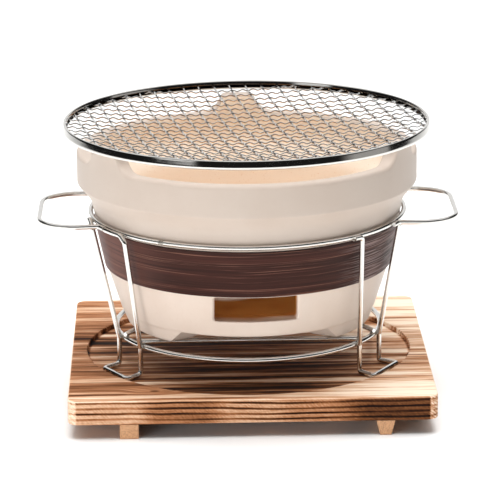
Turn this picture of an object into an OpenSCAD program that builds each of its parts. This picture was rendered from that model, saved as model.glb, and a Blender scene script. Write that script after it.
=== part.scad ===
// Round tabletop charcoal brazier: a ceramic fire bowl with a wood-veneer band, a woven wire
// grill on its three rim lugs, a bent-wire carrying stand with two loop handles, and a
// scorched plank board with a turned recess for the stand's feet.
// Millimetres, +Z up. Origin: middle of the footprint, on the surface the board stands on.

/* [Board] */
// Wood left between the round recess and the plank's left and right sides
board_side = 10; // [4:0.5:50]
// Wood left between the round recess and the plank's front and back
board_end = 8; // [4:0.5:50]
// Thickness of the plank
board_t = 16; // [10:0.5:30]
// Radius of the plank's four corners
board_corner = 7; // [2:0.5:20]
// Depth of the round recess that the stand's feet sit in
recess_depth = 3.2; // [1.5:0.1:8]
// Height of the two cleats under the plank
cleat_h = 9.5; // [5:0.5:20]
// Width of a cleat
cleat_w = 12; // [8:0.5:30]
// Distance from the plank's side to the middle of each cleat
cleat_in = 36; // [15:1:70]
// Slope of the right cleat's outer side, measured at its underside
cleat_slope = 3.5; // [0:0.5:5]

/* [Stand] */
// Diameter of the stand's wire
wire_d = 3.2; // [2.5:0.1:5]
// Diameter of the lower ring's wire
low_wire_d = 3.5; // [2.5:0.1:5]
// Air between the bowl's side and the inside of the upper ring
hoop_gap = 0.84; // [0.5:0.02:4]
// Air between the wood band and the upper ring above it
hoop_above = 1.85; // [0.5:0.05:6]
// How far the lower ring's middle lies outside the bowl's underside
low_ring_out = 3.7; // [1:0.1:8]
// Height of the lower ring's middle above the feet
low_ring_h = 19.5; // [12:0.5:26]
// Place of the front left leg, turned from the front
leg_turn = 61.6; // [57:0.1:65]
// Space along the upper ring from the handle to the front right leg's tip, middle to middle
leg_beside = 2.35; // [2.35:0.05:8]
// Distance between a leg's uprights at the upper ring
leg_top_w = 39; // [24:0.5:46]
// Distance between a leg's uprights at the lower ring and the foot
leg_low_w = 29; // [20:0.5:34]
// How much wider the front right leg is bent at the lower ring and the foot
leg_wider = 4; // [0:0.5:6]
// How far the front right leg leans sideways, at the upper ring
leg_lean = 7.2; // [0:0.2:8]
// How far a foot reaches outward past its uprights
foot_out = 13.2; // [8:0.1:14.2]
// Inside bend radius of the wire is half a wire less than this
wire_bend = 3.2; // [3:0.1:5]
// How far a leg's ends hook sideways along the upper ring
hook_l = 8; // [6:0.5:14]
// How far each handle reaches out past the upper ring's middle
handle_reach = 32.8; // [26:0.1:60]
// Half the angle on the ring between a handle's two arms
handle_angle = 24.5; // [18:0.5:27]
// Bend radius of a handle's outer corners
handle_bend = 24; // [8:1:26]
// Space along the lower ring between a leg's upright and the end of a support bar
bar_beside = 1.55; // [1:0.05:3]

/* [Fire bowl] */
// Height of the bowl, from the feet to the tops of the rim lugs
bowl_h = 126.7; // [118:0.1:145]
// Diameter of the belly, at the lower edge of the wood band
belly_d = 185.8; // [165:0.2:210]
// How far the underside draws in from the belly
base_in = 9.4; // [5:0.1:16]
// How far the neck stands out past the belly
neck_out = 9.7; // [7:0.1:14]
// How far the upper band, the bowl's widest place, stands out past the neck
flange_out = 8.4; // [5:0.1:14]
// Height from the wood band up to the neck
neck_above = 14.5; // [11:0.1:20]
// Height over which the neck flares out to the upper band
flare_h = 10; // [7:0.5:14]
// Thickness of the bowl's wall at the rim
wall = 10; // [7:0.5:12]
// Height of the bowl's feet
foot_h = 9; // [6:0.5:14]
// Width of a bowl foot at its underside
foot_w = 48; // [40:1:60]
// Length of a bowl foot, inward from the edge of the bowl
foot_l = 20; // [18:0.5:26]
// Thickness of the bowl's floor
floor_t = 10.7; // [8:0.1:12]
// How far the rim is cut down between the lugs
rim_drop = 11.7; // [6:0.1:16]
// Width of a rim lug at its top
lug_w = 21; // [12:1:30]
// Width of the air window
window_w = 54; // [30:1:70]
// Height of the air window
window_h = 17.3; // [10:0.1:18]
// Turn of the bowl in its stand, as it was set down
bowl_turn = 2; // [0:0.5:10]
// Thickness of the wood band
band_t = 1; // [0.6:0.1:1.4]
// Height of the wood band
band_h = 31.3; // [20:0.1:32]

/* [Fire grate] */
// Thickness of the perforated fire grate
grate_t = 12; // [8:0.5:20]
// Diameter of a hole in the fire grate
grate_hole_d = 11; // [6:0.5:13]
// Distance between the rings of holes
grate_pitch = 22; // [18:0.5:23]

/* [Grill] */
// How far the grill reaches out past the bowl's upper band
grill_over = 9; // [5:0.5:25]
// Height of the rolled rim
rim_h = 6; // [5:0.2:9]
// Width of the rolled rim
rim_w = 3.7; // [3.2:0.1:5]
// Wall of the rolled rim
rim_wall = 0.8; // [0.5:0.1:1]
// Diameter of the grill's wires
net_d = 1.4; // [1:0.1:1.8]
// Distance between the wires that run left to right
net_pitch_a = 12.5; // [11.9:0.1:20]
// Distance between the wires that run front to back
net_pitch_b = 11.5; // [10.9:0.1:20]
// Turn of the weave in the rim
net_turn = 11.6; // [0:0.1:45]
// How far the net sags in its middle
net_sag = 6; // [2:0.5:7]

/* [Hidden] */
$fn = 96;
fit = 0.3;          // clearance between pieces that only rest on each other
weld = 0.1;         // how far welded wires are pressed into each other
band_gap = 0.05;    // glue line behind the wood band

// Bowl, heights from its own feet
window_sill = 0.5;                                   // the air window starts above the ash floor
window_lintel = 0.7;                                 // wall left between the window and the wood band
ledge_over = 3;                                      // the grate's ledge lies above the window
window_z = foot_h + floor_t + window_sill;
band_z = window_z + window_h + window_lintel;
band_top = band_z + band_h;
neck_z = band_top + neck_above;
flange_z = neck_z + flare_h;
rim_z = bowl_h - rim_drop;
ledge_z = window_z + window_h + ledge_over;
belly_r = belly_d / 2;
base_r = belly_r - base_in;
neck_r = belly_r + neck_out;
flange_r = neck_r + flange_out;
bore_r = flange_r - wall;
neck_in = neck_r - wall;
ledge_wall = 8.9;                                    // wall at the ledge, behind the belly
ledge_w = 10;                                        // width of the ledge under the grate
ledge_r = belly_r - ledge_wall;
ash_r = ledge_r - ledge_w;
grate_gap = 1;                                       // room for the grate to swell with heat
grate_r = ledge_r - grate_gap;
grate_rings = floor((grate_r - grate_hole_d) / grate_pitch);
function belly_at(z) = belly_r + neck_out * (z - band_z) / (neck_z - band_z);

// Board and stand, heights from the table
board_top = cleat_h + board_t;
stand_z = board_top - recess_depth + fit;            // underside of the feet
foot_z = stand_z + wire_d / 2;
low_z = stand_z + low_ring_h;
low_ring_r = base_r + low_ring_out;                  // lower ring, to its wire's middle
low_out = low_ring_r + (low_wire_d + wire_d) / 2 - weld;   // uprights run outside the lower ring
foot_r = low_out + foot_out;
foot_room = 1.75;                                    // clearance between the feet and the recess's wall
recess_r = foot_r + wire_d / 2 + foot_room;
board_w = 2 * (recess_r + board_side);
board_l = 2 * (recess_r + board_end);
cleat_out = board_w / 2 - cleat_in;
bar_z = low_z + (low_wire_d + wire_d) / 2 - weld;
bar_angle = leg_turn - asin(leg_low_w / 2 / low_out) + degrees_of(bar_beside, low_ring_r);
bar_off = low_ring_r * cos(bar_angle);               // from the middle to each support bar
bar_past = 2;                                        // bars end this far past the lower ring's middle
bar_half = low_ring_r * sin(bar_angle) + bar_past;
bowl_z = bar_z + wire_d / 2 + fit;
hoop_up = band_top + hoop_above + wire_d / 2;        // the upper ring's place on the bowl
hoop_z = bowl_z + hoop_up;
hoop_r = belly_at(hoop_up) + hoop_gap + wire_d / 2;  // upper ring, to its wire's middle
lap_drop = 0.9;                                      // hooks lie outside the ring, a little low
lap_z = hoop_z - lap_drop;
lap_r = hoop_r + sqrt(pow(wire_d - weld, 2) - pow(lap_drop, 2));
hook_rise = 4.2;                                     // sideways and upward run of a hook's climb
hook_cut = 1.2;                                      // the hook beside the handle is cut this short
hook_less = 2;                                       // and the other one of that leg by this much
right_half = leg_top_w / 2 + leg_wider / 4;          // half the front right leg's width at its top
right_turn = 90 - handle_angle + degrees_of(leg_beside, lap_r)
    - asin((right_half - leg_lean - hook_cut) / lap_r);
handle_out = hoop_r + handle_reach;
handle_step = 2.4;                                   // the arms spread a little on their way out
tail_angle = 4;                                      // each end laps this far along the ring
function degrees_of(length, r) = length / r * 180 / PI;

// Grill
grill_d = 2 * (flange_r + grill_over);
lug_top = bowl_z + bowl_h;
net_gap = 0.1;                                   // air between crossing wires
crimp = (net_d + net_gap) / 2;                   // each wire's rise and fall
net_r = grill_d / 2 - rim_wall - 0.2;            // wires end inside the rim
rim_mid = lug_top + fit + crimp + net_d / 2 + sag_at(bore_r + 3);
function sag_at(r) = net_sag * (1 - pow(r / net_r, 2));

// Corner of a profile, given as [x, y, radius], turned into the points of its round
function unit(v) = v / norm(v);
function cross2(a, b) = a[0] * b[1] - a[1] * b[0];
function round_corner(a, p, b, r, n) =
    let (u = unit(a - p), v = unit(b - p), half = acos(max(-1, min(1, u * v))) / 2)
    r <= 0 || half > 89.5 ? [p] :
    let (w = unit(u + v), c = p + w * r / sin(half),
         s = p + u * r / tan(half) - c, e = p + v * r / tan(half) - c,
         sweep = 180 - 2 * half, way = cross2(s, e) > 0 ? 1 : -1)
    [for (i = [0:n]) let (t = way * sweep * i / n)
        c + [s[0] * cos(t) - s[1] * sin(t), s[0] * sin(t) + s[1] * cos(t)]];
function rounded(pts, n = 5) =
    let (m = len(pts))
    [for (i = [0:m - 1])
        let (a = pts[(i + m - 1) % m], p = pts[i], b = pts[(i + 1) % m])
        each round_corner([a[0], a[1]], [p[0], p[1]], [b[0], b[1]], p[2], n)];

// Wire bent along a route of straight runs, with a round elbow at every inner point.
// It is swept as a ring of flats: each ring is carried on to the next without twisting.
sides = 12;
function elbow(a, p, b, r) =
    let (u = unit(a - p), v = unit(b - p), half = acos(max(-1, min(1, u * v))) / 2,
         c = p + unit(u + v) * r / sin(half), s = p + u * r / tan(half) - c,
         sweep = 180 - 2 * half, n = ceil(sweep / 18))
    [for (i = [0:n]) c + s * cos(sweep * i / n) - u * r * sin(sweep * i / n)];
function carried(x, t) = unit(x - t * (x * t));
module bent_wire(route, d, bends) {
    m = len(route);
    path = [route[0], for (i = [1:m - 2]) each elbow(route[i - 1], route[i], route[i + 1], bends[i - 1]),
            route[m - 1]];
    n = len(path);
    function along(i) = unit(path[min(i + 1, n - 1)] - path[max(i - 1, 0)]);
    start = carried(abs(along(0)[2]) < 0.9 ? [0, 0, 1] : [1, 0, 0], along(0));
    frames = [for (i = 0, x = start; i < n; i = i + 1, x = carried(x, along(min(i, n - 1))))
        [x, cross(along(i), x)]];
    q = d / 2 / cos(90 / sides);
    pts = [for (i = [0:n - 1], j = [0:sides - 1])
        let (t = 360 * j / sides) path[i] + frames[i][0] * q * cos(t) + frames[i][1] * q * sin(t)];
    last = sides * (n - 1);
    polyhedron(pts, concat(
        [[for (j = [0:sides - 1]) j], [for (j = [sides - 1:-1:0]) last + j]],
        [for (i = [0:n - 2], j = [0:sides - 1])
            let (a = sides * i + j, b = sides * i + (j + 1) % sides)
            each [[a, a + sides, b + sides], [a, b + sides, b]]]));
}

// ---------- Board ----------

module board_plank() color([0.42, 0.26, 0.16]) difference() {
    translate([0, 0, cleat_h]) linear_extrude(board_t)
        polygon(rounded([for (s = [[-1, -1], [1, -1], [1, 1], [-1, 1]])
            [s[0] * board_w / 2, s[1] * board_l / 2, board_corner]], 8));
    translate([0, 0, board_top - recess_depth])
        cylinder(r = recess_r, h = recess_depth + 1, $fn = 180);
}

// Cleats run front to back, flush with the plank's ends
module cleat(slope) translate([0, board_l / 2, 0]) rotate([90, 0, 0]) linear_extrude(board_l)
    polygon([[-cleat_w / 2, cleat_h], [-cleat_w / 2, 0], [cleat_w / 2 - slope, 0], [cleat_w / 2, cleat_h]]);
module cleat_left() color([0.72, 0.52, 0.33]) translate([-cleat_out, 0, 0]) cleat(0);
module cleat_right() color([0.72, 0.52, 0.33]) translate([cleat_out, 0, 0]) cleat(cleat_slope);

// ---------- Stand ----------

module steel() color([0.80, 0.80, 0.78]) children();
module hoop(r, z, d) translate([0, 0, z]) rotate_extrude($fn = 180) translate([r, 0]) circle(d = d, $fn = 32);
module upper_ring() steel() hoop(hoop_r, hoop_z, wire_d);
module lower_ring() steel() hoop(low_ring_r, low_z, low_wire_d);

// A leg lies across the -Y radius: hook, upright, foot loop, upright, hook. Both hooks turn the
// same way round: they climb the first part of their run and lap along the ring with the rest.
function across(t, r) = [t, -sqrt(r * r - t * t)];
function hooked(t, hook) =
    let (up = across(t, lap_r - 0.2), top = across(t - min(hook, hook_rise), lap_r),
         end = across(t - hook, lap_r))
    [if (hook > hook_rise + 1.5) [end[0], end[1], lap_z], [top[0], top[1], lap_z],
     [up[0], up[1], lap_z - hook_rise]];
function footed(t) =
    let (dn = across(t, low_out), out = across(t, foot_r))
    [[t, dn[1], low_z], [t, dn[1], foot_z], [t, out[1], foot_z]];
function reversed(list) = [for (i = [len(list) - 1:-1:0]) list[i]];
module leg(turn, wider = 0, lean = 0, hooks = [hook_l, hook_l]) {
    top = leg_top_w / 2 + wider / 4;
    low = leg_low_w / 2 + wider / 2;
    route = concat(hooked(lean - top, hooks[0]), footed(-low),
        reversed(concat(hooked(lean + top, hooks[1]), footed(low))));
    steel() rotate([0, 0, turn]) bent_wire(route, wire_d, [for (i = [3:len(route)]) wire_bend]);
}
module leg_front_left() leg(-leg_turn);
// The second hook stops short of the handle
module leg_front_right() leg(right_turn, leg_wider, -leg_lean, [hook_l - hook_less, hook_cut]);
module leg_rear() leg(180);

// Handles lie level with the upper ring; their ends lap along its outside
function handle_route() =
    let (r = hoop_r + wire_d - weld, a = handle_angle, b = handle_angle + tail_angle,
         y = r * sin(a) + handle_step)
    [[r * cos(b), -r * sin(b), hoop_z], [r * cos(a), -r * sin(a), hoop_z],
     [handle_out, -y, hoop_z], [handle_out, y, hoop_z],
     [r * cos(a), r * sin(a), hoop_z], [r * cos(b), r * sin(b), hoop_z]];
module handle() steel() bent_wire(handle_route(), wire_d, [wire_bend, handle_bend, handle_bend, wire_bend]);
module handle_right() handle();
module handle_left() mirror([1, 0, 0]) handle();

// Three straight bars make a triangle on the lower ring; the bowl stands on them
module bar(turn) steel() rotate([0, 0, turn]) translate([-bar_half, -bar_off, bar_z])
    rotate([0, 90, 0]) cylinder(d = wire_d, h = 2 * bar_half, $fn = 32);
module bar_front() bar(0);
module bar_right() bar(120);
module bar_left() bar(-120);

// ---------- Fire bowl ----------

module on_stand() translate([0, 0, bowl_z]) rotate([0, 0, bowl_turn]) children();

module bowl_profile(top) polygon(rounded([
    [0, foot_h, 0], [base_r, foot_h, 1.5], [belly_r, band_z, 90], [neck_r, neck_z, 7],
    [flange_r, flange_z, 4], [flange_r, top, 3], [bore_r, top, 4.5], [bore_r, flange_z + 4, 20],
    [neck_in, neck_z, 20], [ledge_r, ledge_z, 0], [ash_r, ledge_z, 0], [ash_r, foot_h + floor_t, 6],
    [0, foot_h + floor_t, 0]]));

// A lug is the full-height wall, cut to a tapering tongue with hollowed feet
module lug(turn) rotate([0, 0, turn]) intersection() {
    root = rim_z - 6;         // a lug starts inside the wall
    lap = rim_z - 0.8;        // and its hollowed feet run out just under the rim
    rotate_extrude($fn = 180) polygon(rounded([
        [bore_r, root, 0], [flange_r, root, 0], [flange_r, bowl_h, 3], [bore_r, bowl_h, 4]]));
    rotate([90, 0, 0]) linear_extrude(2 * flange_r) polygon(rounded([
        [-lug_w - 12, root, 0], [lug_w + 12, root, 0],
        [lug_w + 12, lap, 0], [lug_w / 2 + 4, lap, 9], [lug_w / 2, bowl_h, 3],
        [-lug_w / 2, bowl_h, 3], [-lug_w / 2 - 4, lap, 9], [-lug_w - 12, lap, 0]], 6));
}

// A foot is a stub under the bowl's edge with sloping ends
module foot(turn) rotate([0, 0, turn]) intersection() {
    top = foot_h + 1;         // a foot starts inside the floor
    rotate_extrude($fn = 180) polygon([
        [base_r - foot_l, 0], [base_r - 3.6, 0], [base_r, top], [base_r - foot_l, top]]);
    rotate([90, 0, 0]) linear_extrude(2 * flange_r)
        polygon([[-foot_w / 2, 0], [foot_w / 2, 0], [foot_w / 2 + 13, top], [-foot_w / 2 - 13, top]]);
}

module bowl_body() color([0.87, 0.80, 0.74]) on_stand() difference() {
    union() {
        rotate_extrude($fn = 180) bowl_profile(rim_z);
        for (turn = [60, 180, 300]) { lug(turn); foot(turn); }
    }
    translate([0, 0, window_z]) rotate([90, 0, 0]) linear_extrude(2 * flange_r)
        polygon(rounded([[-window_w / 2, 0, 2.5], [window_w / 2, 0, 2.5],
                         [window_w / 2, window_h, 2.5], [-window_w / 2, window_h, 2.5]]));
}

module wood_band() color([0.33, 0.21, 0.18]) on_stand() {
    a = belly_at(band_z) + band_gap;
    b = belly_at(band_top) + band_gap;
    rotate_extrude($fn = 180)
        polygon([[a, band_z], [a + band_t, band_z], [b + band_t, band_top], [b, band_top]]);
}

module fire_grate() color([0.80, 0.66, 0.50]) on_stand() translate([0, 0, ledge_z + fit]) difference() {
    cylinder(r = grate_r, h = grate_t, $fn = 120);
    translate([0, 0, -1]) cylinder(d = grate_hole_d, h = grate_t + 2, $fn = 32);
    for (ring = [1:grate_rings], i = [0:6 * ring - 1]) rotate([0, 0, i * 60 / ring])
        translate([ring * grate_pitch, 0, -1]) cylinder(d = grate_hole_d, h = grate_t + 2, $fn = 32);
}

// ---------- Grill ----------

// The rim is a rolled tube, open in a slot toward the net
module grill_rim() color([0.78, 0.78, 0.76]) translate([0, 0, rim_mid]) rotate_extrude($fn = 180)
    translate([grill_d / 2 - rim_w / 2, 0]) difference() {
        rolled(rim_w, rim_h);
        rolled(rim_w - 2 * rim_wall, rim_h - 2 * rim_wall);
        translate([-rim_w, -rim_h * 0.31]) square([rim_w, rim_h * 0.62]);
    }
module rolled(w, h) polygon(rounded([[-w / 2, -h / 2, w * 0.45], [w / 2, -h / 2, w * 0.45],
    [w / 2, h / 2, w * 0.45], [-w / 2, h / 2, w * 0.45]], 6));

// One woven wire of four faces along X at y, over and under the wires that it crosses.
// side is +1 or -1, the way it passes its middle crossing.
module net_wire(y, pitch, side) {
    half = sqrt(net_r * net_r - y * y);
    n = floor((half - 0.5) / pitch);
    over = function (i) (i % 2 == 0 ? 1 : -1) * side * crimp;
    last_over = over(half > (n + 1) * pitch - 1 ? n + 1 : n);    // ends keep their last crossing's rise
    stops = [-half, for (i = [-n:n]) i * pitch, half];
    rise = [last_over, for (i = [-n:n]) over(i), last_over];
    rings = len(stops);
    q = net_d / 2;
    pts = [for (k = [0:rings - 1]) let (x = stops[k],
               z = rise[k] - sag_at(sqrt(x * x + y * y)))
           each [[x, y, z + q], [x, y + q, z], [x, y, z - q], [x, y - q, z]]];
    sides = [for (k = [0:rings - 2], j = [0:3])
        let (a = 4 * k + j, b = 4 * k + (j + 1) % 4)
        each [[a, b, b + 4], [a, b + 4, a + 4]]];
    last = 4 * (rings - 1);
    polyhedron(pts, concat(sides, [[0, 2, 1], [0, 3, 2]],
        [[last, last + 1, last + 2], [last, last + 2, last + 3]]));
}
module net(pitch, cross_pitch, side) {
    n = floor((net_r - 6) / pitch);
    for (i = [-n:n]) net_wire(i * pitch, cross_pitch, (i % 2 == 0 ? 1 : -1) * side);
}
module woven() color([0.62, 0.60, 0.57]) translate([0, 0, rim_mid]) rotate([0, 0, net_turn]) children();
module grill_wires_a() woven() net(net_pitch_a, net_pitch_b, 1);
module grill_wires_b() woven() rotate([0, 0, 90]) net(net_pitch_b, net_pitch_a, -1);

board_plank();
cleat_left();
cleat_right();
lower_ring();
upper_ring();
leg_front_left();
leg_front_right();
leg_rear();
handle_left();
handle_right();
bar_front();
bar_left();
bar_right();
bowl_body();
wood_band();
fire_grate();
grill_rim();
grill_wires_a();
grill_wires_b();
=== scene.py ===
"""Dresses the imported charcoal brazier: glazed bowl, veneer band, welded wire stand, woven grill
and scorched board, in metres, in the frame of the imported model. Sizes come from the frame where
a node has them, and otherwise from the part's source or from the photograph."""

import math

import bmesh
import bpy
import numpy as np
from mathutils import Matrix, Vector


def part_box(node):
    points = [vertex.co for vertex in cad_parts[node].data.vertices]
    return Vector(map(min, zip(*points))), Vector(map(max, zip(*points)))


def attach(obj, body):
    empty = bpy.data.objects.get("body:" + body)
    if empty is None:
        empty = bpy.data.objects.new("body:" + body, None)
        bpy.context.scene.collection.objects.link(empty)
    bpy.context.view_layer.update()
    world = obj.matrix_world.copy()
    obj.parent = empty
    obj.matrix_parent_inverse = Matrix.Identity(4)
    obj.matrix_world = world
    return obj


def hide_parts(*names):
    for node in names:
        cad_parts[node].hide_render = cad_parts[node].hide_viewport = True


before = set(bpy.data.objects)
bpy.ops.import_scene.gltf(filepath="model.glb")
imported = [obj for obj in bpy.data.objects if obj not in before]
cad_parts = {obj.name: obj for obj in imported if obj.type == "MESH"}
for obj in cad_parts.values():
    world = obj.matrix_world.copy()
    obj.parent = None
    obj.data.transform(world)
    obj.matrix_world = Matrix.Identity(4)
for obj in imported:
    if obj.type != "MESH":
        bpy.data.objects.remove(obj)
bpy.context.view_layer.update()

MM = 0.001


# ---------------------------------------------------------------- sizes

def ring_size(node):
    """Radius to the wire's middle, height of the middle and wire diameter of a round hoop."""
    low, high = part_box(node)
    wire = high.z - low.z
    return (high.x - low.x - wire) / 2, (low.z + high.z) / 2, wire


HOOP_R, HOOP_Z, WIRE = ring_size("upper_ring")
LOW_R, LOW_Z, LOW_WIRE = ring_size("lower_ring")
BAR_Z = sum(v.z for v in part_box("bar_front")) / 2
BAR_OFF = -sum(v.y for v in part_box("bar_front")) / 2
BAR_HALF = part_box("bar_front")[1].x
FOOT_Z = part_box("leg_rear")[0].z + WIRE / 2
HANDLE_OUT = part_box("handle_right")[1].x - WIRE / 2

WELD = 0.1 * MM
LEG_TOP_W = 43.8 * MM
LEG_LOW_W = 28.6 * MM
FOOT_OUT = 13.2 * MM
WIRE_BEND = 3.2 * MM
BUTT_BEND = 1.4 * MM
HOOK_LENGTH = 8 * MM
LAP_DROP = 0.2 * MM
HANDLE_ANGLE = math.radians(24.5)
HANDLE_STEP = 2.4 * MM
HANDLE_BEND = 24 * MM
TAIL_ANGLE = math.radians(4)
LOW_OUT = LOW_R + (LOW_WIRE + WIRE) / 2 - WELD
LAP_R = HOOP_R + math.sqrt((WIRE - WELD) ** 2 - LAP_DROP ** 2)
LAP_Z = HOOP_Z - LAP_DROP
FOOT_R = LOW_OUT + FOOT_OUT
# Each leg's turn round the stand, how far its top leans, the two skews of its foot, the runs of its
# two hooks (none where it only butts against the hoop from below) and the height of their climb.
LEGS = {"leg_front_left": (-60.9, 0, (4 * MM, 4 * MM), (HOOK_LENGTH, 22 * MM), 4.2 * MM),
        "leg_front_right": (60.2, -10.9 * MM, (-4.5 * MM, -1 * MM), (6 * MM, 0), 1.6 * MM),
        "leg_rear": (180, 0, (0, 0), (HOOK_LENGTH, HOOK_LENGTH), 4.2 * MM)}
BARS = {"bar_front": 0, "bar_right": 120, "bar_left": -120}

BOWL_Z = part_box("bowl_body")[0].z
BOWL_TURN = math.radians(2)
BOWL_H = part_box("bowl_body")[1].z - BOWL_Z
FLANGE_R = 111 * MM
FLANGE_Z = 94 * MM
NECK_R = 102.6 * MM
NECK_Z = 84 * MM
BELLY_R = 92.9 * MM
BASE_R = 83.5 * MM
WALL = 10 * MM
FOOT_H = 9 * MM
FLOOR_T = 10.7 * MM
RIM_DROP = 12.3 * MM
LIP_ROUND = 2.4 * MM
LUG_W = 21 * MM
# Where each lug stands round the bowl, in degrees from the front, and how much wider it is on a side.
LUGS = ((62.3, 0), (180, 0), (301.3, 2.4 * MM))
WINDOW_W = 52.6 * MM
WINDOW_H = 17.3 * MM
WINDOW_ROUND = 1.4 * MM
BAND_T = 1.0 * MM
BAND_GAP = 0.05 * MM
RIM_Z = BOWL_H - RIM_DROP
RIM_R = FLANGE_R - WALL / 2
ASH_Z = FOOT_H + FLOOR_T
WINDOW_Z = ASH_Z + 0.5 * MM
LEDGE_Z = WINDOW_Z + WINDOW_H + 3 * MM
LEDGE_R = BELLY_R - 8.9 * MM
ASH_R = LEDGE_R - 10 * MM
BORE_R = FLANGE_R - WALL
NECK_IN = NECK_R - WALL
BAND_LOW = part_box("wood_band")[0].z - BOWL_Z
BAND_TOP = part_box("wood_band")[1].z - BOWL_Z
# Two painted pools of light on the ash floor, seen through the window: where each lies and half its
# width.
LIGHT_POOLS = ((-13 * MM, -27 * MM, 17 * MM), (24 * MM, -84 * MM, 26 * MM))
LIGHT_POOL_DEEP = 12 * MM
LIGHT_POOL_HIGH = 6 * MM

RIM_LOW, RIM_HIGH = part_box("grill_rim")
GRILL_R = RIM_HIGH.y
GRILL_Z = (RIM_LOW.z + RIM_HIGH.z) / 2
GRILL_RIM_H = RIM_HIGH.z - RIM_LOW.z
GRILL_RIM_W = 3.3 * MM
GRILL_RIM_T = 0.8 * MM
GRILL_RIM_TILT = math.radians(12)
NET_R = GRILL_R - GRILL_RIM_T - 0.2 * MM
NET_WIRE = 1.05 * MM
NET_CRIMP = 0.53 * MM
NET_SAG = 7.5 * MM
# Each family of the net: its direction, the pitch of its wires and their shift from the middle.
NET_ACROSS = (math.radians(8.0), 10.318 * MM, 2.274 * MM)
NET_DEEP = (math.radians(101.1), 10.711 * MM, 8.123 * MM)

BOARD_LOW, BOARD_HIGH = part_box("board_plank")
BOARD_CORNER = 7 * MM
RECESS_R = FOOT_R + WIRE / 2 + 1.75 * MM
RECESS_DEPTH = 3.2 * MM
CLEAT_ASIDE = 2.7 * MM

FLOOR_HALF = 6.0
# Each softbox: where it stands, what it points at, its width and height and its watts.
SOFTBOXES = {"key": ((-1.5, -1.9, 0.35), (0, 0, 0.1), 1.3, 0.6, 13),
             "fill": ((1.6, -1.7, 0.35), (0, 0, 0.1), 1.2, 0.6, 2),
             "low": ((-0.6, -1.2, 0.1), (0, 0, 0.06), 1.2, 0.16, 4),
             "top": ((0, 0.1, 2.0), (0, 0, 0.1), 1.8, 1.8, 53)}


# ---------------------------------------------------------------- camera

def placed(name, data):
    """A new object in the scene, with that mesh, light or camera."""
    made = bpy.data.objects.new(name, data)
    bpy.context.scene.collection.objects.link(made)
    return made


def aim_camera():
    """The photograph's view: a long lens a little above the grill, fitted to its ellipses."""
    tilt = math.radians(15.155)
    turn = math.radians(-1.346)
    roll = math.radians(-0.539)
    distance = 2.0760
    aim = Vector((1.53 * MM, -0.74 * MM, 91.44 * MM))
    focal_px, photo_px = 3152.2, 500
    forward = Vector((0, math.cos(tilt), -math.sin(tilt)))
    right = Vector((1, 0, 0))
    up = right.cross(forward)
    x = math.cos(roll) * right + math.sin(roll) * up
    y = -math.sin(roll) * right + math.cos(roll) * up
    axes = Matrix.Rotation(turn, 4, "Z") @ Matrix((x, y, -forward)).transposed().to_4x4()
    place = aim - Matrix.Rotation(turn, 3, "Z") @ forward * distance
    data = bpy.data.cameras.new("photo_camera")
    data.sensor_width = 36
    data.lens = data.sensor_width * focal_px / photo_px
    data.clip_start = 0.05
    data.clip_end = 30
    camera = placed("photo_camera", data)
    camera.matrix_world = Matrix.Translation(place) @ axes
    bpy.context.scene.camera = camera


# ---------------------------------------------------------------- mesh helpers

def unit(v):
    return v / np.linalg.norm(v)


def units(rows):
    return rows / np.linalg.norm(rows, axis=1)[:, None]


def corner(a, p, b, radius, steps):
    """The points of a round of that radius at p, on the way from a to b."""
    a, p, b = np.array(a, float), np.array(p, float), np.array(b, float)
    u, v = unit(a - p), unit(b - p)
    half = math.acos(max(-1.0, min(1.0, float(u @ v)))) / 2
    if radius <= 0 or half > math.radians(89.7):
        return [p]
    centre = p + unit(u + v) * radius / math.sin(half)
    start = p + u * radius / math.tan(half) - centre
    arc = math.pi - 2 * half
    count = max(1, math.ceil(arc / steps))
    return [centre + start * math.cos(t) - u * radius * math.sin(t)
            for t in (arc * i / count for i in range(count + 1))]


def rounded(points, step=15):
    """A closed profile from (x, y, radius) corners."""
    found = []
    for i, (x, y, radius) in enumerate(points):
        before, after = points[i - 1], points[(i + 1) % len(points)]
        found += corner(before[:2], (x, y), after[:2], radius, math.radians(step))
    return np.array(found)


def route(points, bends, step=12):
    """A line through straight runs with a round elbow at every inner point."""
    points = [np.array(p, float) for p in points]
    found = [points[0]]
    for i, radius in enumerate(bends, 1):
        found += corner(points[i - 1], points[i], points[i + 1], radius, math.radians(step))
    found.append(points[-1])
    return np.array(found)


def dense(points, longest, closed=False):
    """The same line with no stretch between points longer than that."""
    ends = list(zip(points[:-1], points[1:]))
    if closed:
        ends.append((points[-1], points[0]))
    found = []
    for a, b in ends:
        count = max(1, math.ceil(np.linalg.norm(b - a) / longest))
        found += [a + (b - a) * i / count for i in range(count)]
    if not closed:
        found.append(points[-1])
    return np.array(found)


def round_off(radius, start, end, count):
    """How far the points of a round edge lie in from its two faces, between two angles."""
    return [(radius * (1 - math.cos(t)), radius * (1 - math.sin(t)))
            for t in np.radians(np.linspace(start, end, count))]


def spun(angle, points):
    """Points turned about Z."""
    c, s = math.cos(angle), math.sin(angle)
    points = np.asarray(points, float)
    return points @ np.array([[c, s, 0], [-s, c, 0], [0, 0, 1]])


def quads(rows, columns, wrap_rows=False, wrap_columns=True):
    """Faces of a grid of points stored row by row."""
    r = np.arange(rows if wrap_rows else rows - 1)
    c = np.arange(columns if wrap_columns else columns - 1)
    r0, c0 = np.meshgrid(r, c, indexing="ij")
    r1, c1 = (r0 + 1) % rows, (c0 + 1) % columns
    faces = np.stack([r0 * columns + c0, r0 * columns + c1, r1 * columns + c1, r1 * columns + c0], -1)
    return faces.reshape(-1, 4).tolist()


def capped(rows, columns):
    """Faces of a stack of rings, with one face over either end."""
    last = (rows - 1) * columns
    return quads(rows, columns) + [[*range(columns - 1, -1, -1)], [last + j for j in range(columns)]]


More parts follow.
